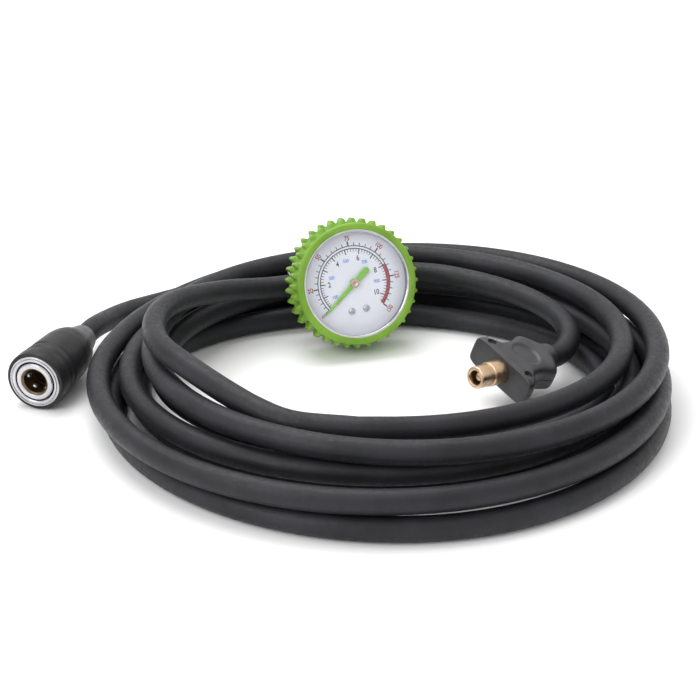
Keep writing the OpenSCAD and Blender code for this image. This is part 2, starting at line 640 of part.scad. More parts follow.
// One half of the grip; side is 1 for the top and -1 for the bottom.
module grip_half(side) difference() {
    intersection() {
        rotate([90, 0, 0]) linear_extrude(grip_t, center = true) grip_outline();
        translate([-wing_w, side > 0 ? 0 : -grip_t, -grip_len - grip_tail - 1])
            cube([2 * wing_w, grip_t, grip_len + grip_tail + 2]);
        union() {
            translate([-wing_w, -grip_t / 2, -grip_len]) cube([2 * wing_w, grip_t, grip_len + 1]);
            post(hose_r + 2.2, -grip_len - grip_tail - 1, -grip_len + 1);
        }
    }
    translate([0, side * (grip_t / 2 + 26.9), -18]) sphere(28, $fn = 96);
    post(shank_r + 0.02, -grip_len, 1);
    post(flange_pocket_r, shank_end - 3.6, shank_end + 3);
    post(cavity_r, -grip_len + 2, cavity_end + 0.2);
    post(hose_r + gap, cavity_end, shank_end - 3);
    post(hose_r + gap, -grip_len - grip_tail - 2, -grip_len + 3);
    for (x = [-1, 1]) translate([x * 14.5, 0, -4.5]) rotate([90, 0, 0])
        cylinder(r = 1.2, h = grip_t + 2, center = true);
    for (x = [-1, 1]) translate([x * 14.5, side * grip_t / 2, -4.5]) rotate([90, 0, 0])
        cylinder(r = 2.2, h = 7, center = true);
}
module grip_top() color([0.12, 0.12, 0.13]) on_chuck() grip_half(1);
module grip_bottom() color([0.14, 0.14, 0.15]) on_chuck() grip_half(-1);

module grip_screws() color("silver") on_chuck() for (x = [-1, 1])
    translate([x * 14.5, 0, -4.5]) rotate([-90, 0, 0]) {
        cylinder(r = 1.15, h = grip_t - 6.8, center = true);
        translate([0, 0, grip_t / 2 - 3.45]) cylinder(r = 2.1, h = 1.4);
    }

module brass_nozzle() color("goldenrod") on_chuck() difference() {
    turned([[0, nozzle_len], [nozzle_r - 0.6, nozzle_len], [nozzle_r, nozzle_len - 0.6],
        [nozzle_r, nozzle_len / 2], [collar_r - 0.4, nozzle_len / 2], [collar_r, nozzle_len / 2 - 0.4],
        [collar_r, 0.1], [shank_r, 0.1], [shank_r, shank_end + 2.9],
        [flange_pocket_r - 0.1, shank_end + 2.9], [flange_pocket_r - 0.1, shank_end + 0.1],
        [0, shank_end + 0.1]]);
    post(nozzle_bore_r, nozzle_len - 3, nozzle_len + 1);
    post(nozzle_bore_r + 0.25, nozzle_len - 11.5, nozzle_len - 2.4);
    post(2.6, 2, nozzle_len - 11);
    post(1.6, -2, 3);
    post(3.4, shank_end - 1, -1.4);
}

module nozzle_seal() color("black") on_chuck()
    sleeve_of(2.2, nozzle_bore_r + 0.24, nozzle_len - 11.5, nozzle_len - 9.9);

// Sprung pin that opens the tyre's valve core; its head carries a slot.
module valve_pin() color("goldenrod") on_chuck() difference() {
    turned([[0, nozzle_len - 3], [2, nozzle_len - 3], [2.4, nozzle_len - 3.4],
        [2.4, nozzle_len - 5], [1.8, nozzle_len - 5.6], [1.8, 7], [2.1, 7], [2.1, 5.9], [1.3, 5.9],
        [1.3, -3.9], [2.4, -3.9], [2.4, -5.4], [0, -5.4]]);
    translate([-3, -0.4, nozzle_len - 4]) cube([6, 0.8, 2]);
}

module pin_spring() color("silver") on_chuck() sleeve_of(1.5, 2.4, 2.1, 5.8);

// Swivel stem: its flange turns behind the nozzle's shank, its barb holds the hose.
module swivel_stem() color("goldenrod") on_chuck() difference() {
    union() {
        post(3.3, shank_end - 0.1, -8.6);
        post(flange_pocket_r - 0.2, shank_end - 3.4, shank_end);
        post(barb_r + 0.1, -grip_len + 1, shank_end - 3.3);
        for (z = [1 : 3.4 : 9]) translate([0, 0, -stem_z - z - 2.4])
            turned([[0, 0], [barb_r, 0], [barb_r + 0.5, 2.4], [0, 2.4]]);
    }
    post(1.5, -grip_len, -8);
    sleeve_of(2.7, 4, -12.2, -10.6);
}

module stem_seal() color("black") on_chuck() sleeve_of(2.72, 3.38, -12.1, -10.7);

module chuck_ferrule() color("silver") on_chuck()
    sleeve_of(hose_r + fit, cavity_r - gap, -grip_len + 3, cavity_end - 0.2);

green_boot();
gauge_case();
bezel_ring();
lens();
lens_gasket();
dial_plate();
dial_screws();
stop_pin();
pointer();
pointer_hub();
pointer_spindle();
hairspring();
sector_gear();
sector_shaft();
movement_front_plate();
movement_back_plate();
movement_pillars();
link();
bourdon_tube();
tube_tip();
gauge_socket();
case_screws();
stem_washer();
brass_tee();
left_ferrule();
right_ferrule();
hose_lead();
hose_coil();
hose_top_run();
hose_outlet();
coupler_sleeve();
sleeve_face_ring();
coupler_body();
sleeve_spring();
lock_ball(1);  // lock_ball_1
lock_ball(2);  // lock_ball_2
lock_ball(3);  // lock_ball_3
lock_ball(4);  // lock_ball_4
lock_ball(5);  // lock_ball_5
lock_ball(6);  // lock_ball_6
bore_seal();
valve_poppet();
poppet_spring();
hose_adapter();
coupler_ferrule();
grip_top();
grip_bottom();
grip_screws();
brass_nozzle();
nozzle_seal();
valve_pin();
pin_spring();
swivel_stem();
stem_seal();
chuck_ferrule();
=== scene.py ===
"""A tyre inflator: air hose in a pile, socket coupler, winged chuck and a dial gauge in a rubber boot."""
import math

import bmesh
import bpy
import numpy as np
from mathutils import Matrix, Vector


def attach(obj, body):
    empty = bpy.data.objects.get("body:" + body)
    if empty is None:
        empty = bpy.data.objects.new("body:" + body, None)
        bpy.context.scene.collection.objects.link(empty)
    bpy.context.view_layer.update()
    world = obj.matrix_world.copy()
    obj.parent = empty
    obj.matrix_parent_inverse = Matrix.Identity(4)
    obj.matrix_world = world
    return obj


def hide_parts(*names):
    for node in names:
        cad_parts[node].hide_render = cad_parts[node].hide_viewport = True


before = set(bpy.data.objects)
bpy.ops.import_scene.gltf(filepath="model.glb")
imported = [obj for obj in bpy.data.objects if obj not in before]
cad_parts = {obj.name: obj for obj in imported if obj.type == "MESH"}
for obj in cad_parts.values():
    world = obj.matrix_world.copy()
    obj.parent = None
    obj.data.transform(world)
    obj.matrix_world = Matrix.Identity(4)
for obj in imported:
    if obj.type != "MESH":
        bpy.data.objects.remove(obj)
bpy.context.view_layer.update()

# ---- Studio ----
# A pale matt table under a large soft lamp above and behind, with a second lamp on the left.
# It is not part of the inflator.
camera = bpy.data.objects.new("camera", bpy.data.cameras.new("camera"))
bpy.context.scene.collection.objects.link(camera)
camera.data.sensor_width = 36
camera.data.lens = 86.45
camera.data.clip_start, camera.data.clip_end = 0.02, 20
camera.location = (-0.2400, -0.8548, 0.4079)
camera_aim = Vector((-0.01925, -0.0695, 0.0275))
camera.rotation_euler = (camera_aim - camera.location).to_track_quat("-Z", "Y").to_euler()
bpy.context.scene.camera = camera
bpy.context.scene.view_settings.view_transform = "Standard"

table = bpy.data.objects.new("table", bpy.data.meshes.new("table"))
table_z = -0.0003
table_corners = [(-3, -3, table_z), (3, -3, table_z), (3, 4, table_z), (-3, 4, table_z)]
table.data.from_pydata(table_corners, [], [(0, 1, 2, 3)])
bpy.context.scene.collection.objects.link(table)
table_paper = bpy.data.materials.new("table_paper")
table_paper.use_nodes = True
paper_shader = table_paper.node_tree.nodes["Principled BSDF"]
paper_shader.inputs["Base Color"].default_value = (0.95, 0.95, 0.95, 1)
paper_shader.inputs["Roughness"].default_value = 0.9
table.data.materials.append(table_paper)
studio = bpy.data.worlds.new("studio")
studio.use_nodes = True
studio.node_tree.nodes["Background"].inputs["Color"].default_value = (1, 1, 1, 1)
studio.node_tree.nodes["Background"].inputs["Strength"].default_value = 0.95
bpy.context.scene.world = studio
lamps = [("top_lamp", (-0.15, 0.45, 1.3), 1.0, 12), ("left_lamp", (-1.1, -0.7, 0.9), 0.7, 7)]
lamp_aim = Vector((0, -0.06, 0.02))
for lamp_name, place, width, power in lamps:
    lamp = bpy.data.objects.new(lamp_name, bpy.data.lights.new(lamp_name, "AREA"))
    bpy.context.scene.collection.objects.link(lamp)
    lamp.data.size, lamp.data.energy, lamp.location = width, power, place
    lamp.rotation_euler = (lamp_aim - Vector(place)).to_track_quat("-Z", "Y").to_euler()


# ---- Air hose ----
# Black rubber hose, 12.5 mm outside, with the faint print of the cloth it was cured in. It runs
# from the coupler into a three-layer pile, and from the pile's top to the gauge's tee; a short
# second length joins the tee to the chuck. Each end is pushed on a barb and crimped.
# Stations are distances in millimetres: behind the coupler's mouth, behind the grip's front face,
# and, for the tee, from its middle to where each crimp starts and ends.
mm = 0.001
hose_d, layer_step = 12.5, 12.95
first_turn, last_turn, samples_a_turn = -0.25, 6.25, 96
pile_at, pile_turn = np.array([-3.0, -74.0]), math.radians(15.7)
tee_at = np.array([0, 19.46, 30.25])
tee_half, crimp_end = 11, 31
mouth_at, coupler_turn = np.array([-184.5, -40, 16.4]), 33.0
coupler_axis = np.array([-math.sin(math.radians(coupler_turn)), -math.cos(math.radians(coupler_turn)), 0])
coupler_stations, grip_stations = (42, 51, 60, 72.5), (39, 31, 18)
chuck_at, chuck_turn, chuck_pitch, chuck_roll = np.array([53, -104.4, 21.6]), 62.8, 7, 19
lead_points = [[-154.5, 76.5, 12.5], [-146.5, 92, 10], [-137, 105, 7.8], [-125, 117, 6.5], [-109, 130, 6.25],
               [-91, 141.5, 6.25], [-72, 150.5, 6.25], [-52, 156.5, 6.25], [-38, 159, 6.25]]
top_points = [[-46, -94.5, 33], [-62, -86, 35.4], [-77, -75, 39], [-91, -62.5, 42.4], [-103, -49.5, 44.6],
              [-112.5, -36.5, 45.6], [-118.2, -21.5, 45.8], [-120.2, -5, 45.8], [-118.6, 10.5, 45.4],
              [-113.6, 25, 44], [-105.8, 38.5, 41.7], [-96, 50.8, 38.8], [-85.2, 62, 35.8],
              [-74.2, 71.2, 32.8], [-63.6, 78, 30.7]]
outlet_points = [[19, 101, 30.5], [36, 97, 30.9], [49, 90.5, 31], [61, 83, 31], [78, 71.5, 30],
                 [92, 58.5, 28], [101, 47, 25.2], [104.8, 36.5, 21.6], [103.2, 27, 18.5], [98, 19.2, 16.4]]


def turned_by(axis, degrees):
    """The matrix of a turn by that many degrees about x, y or z."""
    c, s = math.cos(math.radians(degrees)), math.sin(math.radians(degrees))
    return np.array({"x": [[1, 0, 0], [0, c, -s], [0, s, c]], "y": [[c, 0, s], [0, 1, 0], [-s, 0, c]],
                     "z": [[c, -s, 0], [s, c, 0], [0, 0, 1]]}[axis])


chuck_frame = (turned_by("z", -chuck_turn) @ turned_by("x", 90) @ turned_by("x", -chuck_pitch)
               @ turned_by("z", -chuck_roll))


def on_pile(p):
    """A point in the pile's own frame, turned 15.7 degrees and moved to the pile's middle."""
    p, c, s = np.asarray(p, float), math.cos(pile_turn), math.sin(pile_turn)
    return np.stack([pile_at[0] + p[..., 0] * c + p[..., 1] * s,
                     pile_at[1] - p[..., 0] * s + p[..., 1] * c, p[..., 2]], axis=-1)


def pile_line(turn):
    """The pile's centreline: an oval x = m + w sin(a), y = (b + f) / 2 + (b - f) / 2 cos(a), whose
    middle m, half width w, back b and front f change evenly with the turn between the marks, and
    whose height climbs a layer in half a turn as 3t^2 - 2t^3."""
    marks = [-0.25, 2, 2.5, 4.5, 5, 6.25]
    a = 2 * np.pi * (turn - first_turn)
    width = np.interp(turn, marks, [153, 121.7, 121.8, 152.4, 143.8, 121.9])
    back = np.interp(turn, marks, [160, 88.8, 109.4, 142.5, 145.6, 110.5])
    front = np.interp(turn, marks, [-170.6, -75.7, -99.7, -153.9, -129.7, -100])
    middle = np.interp(turn, [2, 2.5, 4.5, 5, 5.5, 6.25], [-1.4, 3.2, 1.9, 3.1, 13.6, -2.5])
    climb = sum(t * t * (3 - 2 * t) for t in (np.clip((turn - start) / 0.5, 0, 1) for start in (2, 4.5)))
    return np.stack([middle + width * np.sin(a), (back + front) / 2 + (back - front) / 2 * np.cos(a),
                     hose_d / 2 + layer_step * climb], axis=-1)


def laid_through(points, step=2.5):
    """A centripetal Catmull-Rom curve through the points, a sample about every step millimetres."""
    p = np.asarray(points, float)
    p = np.vstack([2 * p[0] - p[1], p, 2 * p[-1] - p[-2]])
    out = []
    for a, b, c, d in zip(p[:-3], p[1:-2], p[2:-1], p[3:]):
        t1 = np.linalg.norm(b - a) ** 0.5
        t2 = t1 + np.linalg.norm(c - b) ** 0.5
        t3 = t2 + np.linalg.norm(d - c) ** 0.5
        t = np.linspace(t1, t2, max(2, round(np.linalg.norm(c - b) / step)), endpoint=False)[:, None]
        ab = a + (b - a) * t / t1
        bc = b + (c - b) * (t - t1) / (t2 - t1)
        cd = c + (d - c) * (t - t2) / (t3 - t2)
        abc = ab + (bc - ab) * t / t2
        bcd = bc + (cd - bc) * (t - t1) / (t3 - t1)
        out.append(abc + (bcd - abc) * (t - t1) / (t2 - t1))
    return np.vstack([*out, p[-2:-1]])


def skin(name, grid, finish, slope, ring=False):
    """A skin over a grid of points in millimetres, rows by columns, four points to a face. The last
    column joins the first, and with ring the last row joins the first; points that meet are merged.
    Edges over that slope in degrees stay sharp. The UV map is the share of the way across the
    columns and the metres along the rows."""
    grid = np.asarray(grid, float)
    rows, cols = grid.shape[:2]
    steps = np.linalg.norm(np.diff(np.vstack([grid, grid[:1]]), axis=0), axis=2).mean(1)
    far = np.concatenate([[0], np.cumsum(steps)])
    i, k = np.meshgrid(np.arange(rows if ring else rows - 1), np.arange(cols), indexing="ij")
    this_row, next_row, next_k = (i % rows) * cols, ((i + 1) % rows) * cols, (k + 1) % cols
    corners = np.stack([this_row + k, this_row + next_k, next_row + next_k, next_row + k], axis=-1)
    across = np.stack([k, k + 1, k + 1, k], axis=-1) / cols
    along = far[np.stack([i, i, i + 1, i + 1], axis=-1)] * mm
    mesh = bpy.data.meshes.new(name)
    mesh.from_pydata((grid.reshape(-1, 3) * mm).tolist(), [], corners.reshape(-1, 4).tolist())
    uv = np.stack([across, along], axis=-1).ravel()
    mesh.uv_layers.new(name="across_and_along").data.foreach_set("uv", uv)
    work = bmesh.new()
    work.from_mesh(mesh)
    bmesh.ops.remove_doubles(work, verts=work.verts, dist=2e-7)
    work.to_mesh(mesh)
    work.free()
    mesh.polygons.foreach_set("use_smooth", np.ones(len(mesh.polygons), bool))
    mesh.set_sharp_from_angle(angle=math.radians(slope))
    mesh.materials.append(finish)
    made = bpy.data.objects.new(name, mesh)
    bpy.context.scene.collection.objects.link(made)
    return made


def hose_along(name, line, radius, finish, sides=20):
    """A round tube: a circle of that radius square to the line at each of its points, its first
    point level with the line, and a pole in the middle of each end."""
    along = np.gradient(line, axis=0)
    along /= np.linalg.norm(along, axis=1, keepdims=True)
    level = np.cross([0, 0, 1.0], along)
    level /= np.linalg.norm(level, axis=1, keepdims=True)
    up = np.cross(along, level)
    a = np.linspace(0, 2 * np.pi, sides, endpoint=False)[None, :, None]
    rings = line[:, None] + radius * (level[:, None] * np.cos(a) + up[:, None] * np.sin(a))
    ends = [np.repeat(line[e][None, None], sides, axis=1) for e in (0, -1)]
    return skin(name, np.vstack([ends[0], rings, ends[1]]), finish, slope=60)


def finish_of(name, colour, rough, metal=0.0, **sockets):
    """A Principled finish; further sockets are set by their names with _ for a space."""
    made = bpy.data.materials.new(name)
    made.use_nodes = True
    shader = made.node_tree.nodes["Principled BSDF"]
    shader.inputs["Base Color"].default_value = (*colour, 1)
    shader.inputs["Roughness"].default_value = rough
    shader.inputs["Metallic"].default_value = metal
    for key, value in sockets.items():
        shader.inputs[key.replace("_", " ")].default_value = value
    return made


def grain(made, reads, scale, stretch=(1, 1, 1), detail=4.0):
    """A noise node that reads the piece's Object or UV coordinates, stretched along them."""
    tree = made.node_tree
    where, spread = tree.nodes.new("ShaderNodeTexCoord"), tree.nodes.new("ShaderNodeMapping")
    noise = tree.nodes.new("ShaderNodeTexNoise")
    spread.inputs["Scale"].default_value = stretch
    noise.inputs["Scale"].default_value, noise.inputs["Detail"].default_value = scale, detail
    tree.links.new(where.outputs[reads], spread.inputs["Vector"])
    tree.links.new(spread.outputs["Vector"], noise.inputs["Vector"])
    return noise


def tinted(made, noise, low, high):
    """The colour drifts from low to high as the noise goes from 0.35 to 0.65."""
    tree = made.node_tree
    ramp = tree.nodes.new("ShaderNodeValToRGB")
    for stop, at, colour in zip(ramp.color_ramp.elements, (0.35, 0.65), (low, high)):
        stop.position, stop.color = at, (*colour, 1)
    tree.links.new(noise.outputs["Fac"], ramp.inputs["Fac"])
    tree.links.new(ramp.outputs["Color"], tree.nodes["Principled BSDF"].inputs["Base Color"])


def roughened(made, noise, low, high):
    """The roughness drifts from low to high as the noise goes from 0.3 to 0.7."""
    tree = made.node_tree
    spread = tree.nodes.new("ShaderNodeMapRange")
    for key, value in zip(("From Min", "From Max", "To Min", "To Max"), (0.3, 0.7, low, high)):
        spread.inputs[key].default_value = value
    tree.links.new(noise.outputs["Fac"], spread.inputs["Value"])
    tree.links.new(spread.outputs["Result"], tree.nodes["Principled BSDF"].inputs["Roughness"])


def raised(made, height, depth):
    """A bump of that depth in metres from a node's first output, on top of any bump before it."""
    tree = made.node_tree
    shader = tree.nodes["Principled BSDF"]
    bump = tree.nodes.new("ShaderNodeBump")
    bump.inputs["Strength"].default_value, bump.inputs["Distance"].default_value = 1.0, depth
    tree.links.new(height.outputs[0], bump.inputs["Height"])
    for link in list(shader.inputs["Normal"].links):
        tree.links.new(link.from_socket, bump.inputs["Normal"])
    tree.links.new(bump.outputs["Normal"], shader.inputs["Normal"])


hose_rubber = finish_of("hose_rubber", (0.013, 0.013, 0.016), 0.42, Specular_IOR_Level=0.28,
                        Coat_Weight=0.05, Coat_Roughness=0.3)
tinted(hose_rubber, grain(hose_rubber, "Object", 40), (0.009, 0.009, 0.011), (0.018, 0.018, 0.023))
roughened(hose_rubber, grain(hose_rubber, "Object", 420, detail=6.0), 0.32, 0.56)
raised(hose_rubber, grain(hose_rubber, "Object", 1000, detail=3.0), 0.0001)
raised(hose_rubber, grain(hose_rubber, "UV", 60, (4, 0.3, 1)), 0.00014)

pile = on_pile(pile_line(np.arange(first_turn, last_turn + 0.0001, 1 / samples_a_turn)))
before, after = pile[0] - (pile[1] - pile[0]) * 1.3, pile[-1] + (pile[-1] - pile[-2]) * 1.3
in_coupler = [mouth_at - coupler_axis * d for d in coupler_stations]
tee_stations = (tee_half, (tee_half + crimp_end) / 2, crimp_end)
main_line = np.vstack([laid_through(np.vstack([in_coupler, on_pile(lead_points), before])), pile,
                       laid_through(np.vstack([after, on_pile(top_points),
                                               [tee_at - [x, 0, 0] for x in tee_stations[::-1]]]))])
outlet_line = laid_through(np.vstack([[tee_at + [x, 0, 0] for x in tee_stations], on_pile(outlet_points),
                                      [chuck_at - chuck_frame[:, 2] * d for d in grip_stations]]))
air_hose = hose_along("air_hose", main_line, hose_d / 2, hose_rubber)
outlet_hose = hose_along("outlet_hose", outlet_line, hose_d / 2, hose_rubber)
for hose in (air_hose, outlet_hose):
    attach(hose, "base")
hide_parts("hose_lead", "hose_coil", "hose_top_run")
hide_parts("hose_outlet")


# ---- Gauge's rubber boot ----
# One moulding of bright green rubber, slipped over the gauge's case: a smooth front ring and, round
# the side, two staggered rows of tread lugs with a channel between them.
bezel_r, boot_r, boot_depth = 32.2, 36.8, 24.0
lug_count, lug_rise, lug_fall, steps_a_lug = 36, 2.95, 0.35, 20
lug_rows = ((-boot_depth + 0.1, -14.8, 0.0), (-12.6, -3.9, 0.5))
gauge_lean, gauge_at = 18.6, np.array([0, -17.03, 42.53])


def on_gauge(p):
    """Gauge frame: z out of the dial, y up it; leans back 18.6 degrees over the boot's edge."""
    return np.asarray(p, float) @ turned_by("x", 90 - gauge_lean).T + gauge_at


def rise(t):
    """3t^2 - 2t^3 from 0 to 1, flat outside."""
    t = np.clip(t, 0, 1)
    return t * t * (3 - 2 * t)


def boot_surface():
    """A ring swept round the axis: the section runs up the tread side, over the rounded front ring
    and back down the bore. A lug adds 2.95 - 0.35 (4 off)^2 mm to the radius, where off is the
    distance from the lug's middle in pitches, and eases to nothing from 0.06 to 0.44 pitch. Each
    row is (z from, z to, its shift in pitches)."""
    around = np.linspace(0, 2 * np.pi, lug_count * steps_a_lug, endpoint=False)
    root = boot_r - 2.9
    z = np.concatenate([[-boot_depth], np.linspace(-boot_depth + 0.15, -4.3, 54), [-3.9, -3.6]])
    front = np.array([[root + 0.2, -3.35], [root + 0.45, -3.2], [root + 0.55, -2.8], [root + 0.55, -1.2],
                      [root + 0.3, -0.6], [root - 0.1, -0.2], [root - 0.6, 0], [31.3, 0.02], [30.85, -0.08],
                      [30.62, -0.36], [30.6, -0.84], [bezel_r + 0.05, -0.85], [bezel_r + 0.05, -boot_depth]])
    section = np.vstack([np.stack([np.full(len(z), root), z], axis=-1), front])
    section[0, 0] -= 0.25
    pitch = 2 * np.pi / lug_count
    r, h = section[:, 0][:, None] + 0 * around, section[:, 1][:, None]
    for low, high, shift in lug_rows:
        off = np.abs((around / pitch + 0.25 - shift) % 1 - 0.5)[None]
        block = rise((0.44 - off) / 0.38) * rise((h - low) / 0.7) * rise((high - h) / 1.1)
        crown = lug_rise - lug_fall * (4 * off) ** 2
        r = r + np.where(h < -3.5, block * crown, 0)
    return on_gauge(np.stack([r * np.cos(around), r * np.sin(around), h + 0 * around], axis=-1))


boot_rubber = finish_of("boot_rubber", (0.165, 0.34, 0.020), 0.48)
tinted(boot_rubber, grain(boot_rubber, "Object", 70), (0.14, 0.29, 0.015), (0.195, 0.39, 0.028))
roughened(boot_rubber, grain(boot_rubber, "Object", 220), 0.42, 0.58)
raised(boot_rubber, grain(boot_rubber, "Object", 1500, detail=2.0), 0.00005)
rubber_boot = skin("rubber_boot", boot_surface(), boot_rubber, slope=50, ring=True)
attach(rubber_boot, "base")
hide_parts("green_boot")


# ---- Bezel ring and case ----
# The bezel is a bright plated steel ring rolled over the lens; the case behind it is a pressed cup,
# painted dark grey, held to the brass socket by two screws.
def eased(profile, radius):
    """Each corner of a closed profile becomes a four-point curve that starts and ends radius from
    it, or 0.48 of a side where that is shorter."""
    p = np.asarray(profile, float)
    back, ahead = np.roll(p, 1, axis=0) - p, np.roll(p, -1, axis=0) - p
    start, stop = (p + side * np.minimum(radius / np.linalg.norm(side, axis=1, keepdims=True), 0.48)
                   for side in (back, ahead))
    t = np.array([0, 0.3, 0.7, 1])[None, :, None]
    curve = (1 - t) ** 2 * start[:, None] + 2 * t * (1 - t) * p[:, None] + t * t * stop[:, None]
    return curve.reshape(-1, 2)


def turned(name, profile, place, finish, radius, sides, slope=35):
    """A closed profile of radius and height turned about the axis, its corners eased, and put in
    its place. Points on the axis stay on it, and merge into a pole."""
    p = np.asarray(profile, float)
    if np.sum(p[:, 0] * np.roll(p[:, 1], -1) - np.roll(p[:, 0], -1) * p[:, 1]) < 0:
        p = p[::-1]
    q = eased(p, radius)
    a = np.linspace(0, 2 * np.pi, sides, endpoint=False)
    surface = np.stack([q[:, :1] * np.cos(a), q[:, :1] * np.sin(a), q[:, 1:] + 0 * a], axis=-1)
    return skin(name, place(surface), finish, slope, ring=True)


def lathe_marks(made, depth):
    """Fine rings left by the tool: noise stretched round the piece and tight along its UV map."""
    raised(made, grain(made, "UV", 1.0, (2, 2500, 1), detail=3.0), depth)


chrome = finish_of("chrome", (0.62, 0.63, 0.65), 0.14, 1.0)
tinted(chrome, grain(chrome, "Object", 120), (0.56, 0.57, 0.59), (0.68, 0.69, 0.71))
roughened(chrome, grain(chrome, "Object", 300), 0.09, 0.2)
lathe_marks(chrome, 0.000004)
bezel = turned("bezel", [[29.25, -1.35], [29.6, -1.0], [30.1, -0.9], [31.7, -0.9], [bezel_r, -1.4],
                         [bezel_r, -9.9], [31.55, -9.9], [31.55, -1.5], [29.25, -1.5]],
               on_gauge, chrome, 0.3, 192)
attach(bezel, "base")
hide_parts("bezel_ring")

case_paint = finish_of("case_paint", (0.05, 0.052, 0.055), 0.4)
tinted(case_paint, grain(case_paint, "Object", 90), (0.042, 0.044, 0.047), (0.06, 0.062, 0.066))
raised(case_paint, grain(case_paint, "Object", 900), 0.00004)
steel = finish_of("steel", (0.55, 0.56, 0.58), 0.3, 1.0)
tinted(steel, grain(steel, "Object", 200), (0.48, 0.49, 0.51), (0.62, 0.63, 0.65))
roughened(steel, grain(steel, "Object", 500), 0.24, 0.4)
raised(steel, grain(steel, "Object", 2500), 0.00001)


def dressed(finish, *names):
    """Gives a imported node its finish."""
    for name in names:
        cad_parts[name].data.materials.clear()
        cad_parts[name].data.materials.append(finish)


dressed(case_paint, "gauge_case")
dressed(steel, "case_screws")

# ---- Socket and movement ----
# The brass socket carries the bourdon tube and screws into the tee over a red fibre washer. Two
# plates on pillars hold the toothed sector, which turns the pointer's spindle against a hairspring.
brass = finish_of("brass", (0.78, 0.56, 0.26), 0.28, 1.0)
tinted(brass, grain(brass, "Object", 150), (0.68, 0.47, 0.20), (0.84, 0.63, 0.33))
roughened(brass, grain(brass, "Object", 400), 0.22, 0.38)
raised(brass, grain(brass, "Object", 3000), 0.00001)
red_fibre = finish_of("red_fibre", (0.35, 0.04, 0.03), 0.7)
tinted(red_fibre, grain(red_fibre, "Object", 300), (0.28, 0.03, 0.02), (0.42, 0.06, 0.04))
raised(red_fibre, grain(red_fibre, "Object", 1500), 0.00005)
dressed(brass, "sector_gear", "movement_front_plate", "movement_back_plate", "movement_pillars", "hairspring",
        "bourdon_tube", "tube_tip", "gauge_socket", "stop_pin")
dressed(steel, "sector_shaft", "link", "pointer_spindle")
dressed(red_fibre, "stem_washer")

# ---- Lens ----
# A flat disc of clear plastic, pressed against its grey rubber gasket by the bezel. Both keep the
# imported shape.
grey_rubber = finish_of("grey_rubber", (0.30, 0.30, 0.32), 0.55)
tinted(grey_rubber, grain(grey_rubber, "Object", 150), (0.26, 0.26, 0.28), (0.34, 0.34, 0.36))
raised(grey_rubber, grain(grey_rubber, "Object", 2000), 0.00002)
dressed(grey_rubber, "lens_gasket")
clear_lens = finish_of("clear_lens", (0.93, 0.96, 1.0), 0.05, Alpha=0.04)
clear_lens.surface_render_method = "BLENDED"
raised(clear_lens, grain(clear_lens, "Object", 40), 0.00001)
tinted(clear_lens, grain(clear_lens, "Object", 30), (0.90, 0.93, 0.98), (0.96, 0.98, 1.0))
dressed(clear_lens, "lens")

# ---- Printed dial ----
# A white lacquered plate with a scale to 150 in black and red, an inner scale to 10 in black, a
# third row of numbers in blue, and a red warning band on the last part of the scale.
dial_top, dial_turn = -8.0, 6.0
ink_sunk, ink_top = -0.005, 0.03
cap_share, letter_width, letter_bold, letter_half = 0.73, 0.82, 0.03, 0.0175
dial_white = finish_of("dial_white", (0.80, 0.82, 0.90), 0.35)
tinted(dial_white, grain(dial_white, "Object", 60), (0.78, 0.80, 0.885), (0.82, 0.84, 0.915))
raised(dial_white, grain(dial_white, "Object", 1200), 0.00001)
dressed(dial_white, "dial_plate")


def on_dial(p):
    """The gauge frame turned 6 degrees, as the dial sits in its case."""
    return on_gauge(np.asarray(p, float) @ turned_by("z", dial_turn).T)


def scale_angle(reading):
    """A reading on the outer scale as an angle: 215.5 degrees at 0, 178.5 at 25 and -46 at 150."""
    return np.radians(np.interp(reading, [0, 25, 150], [215.5, 178.5, -46]))


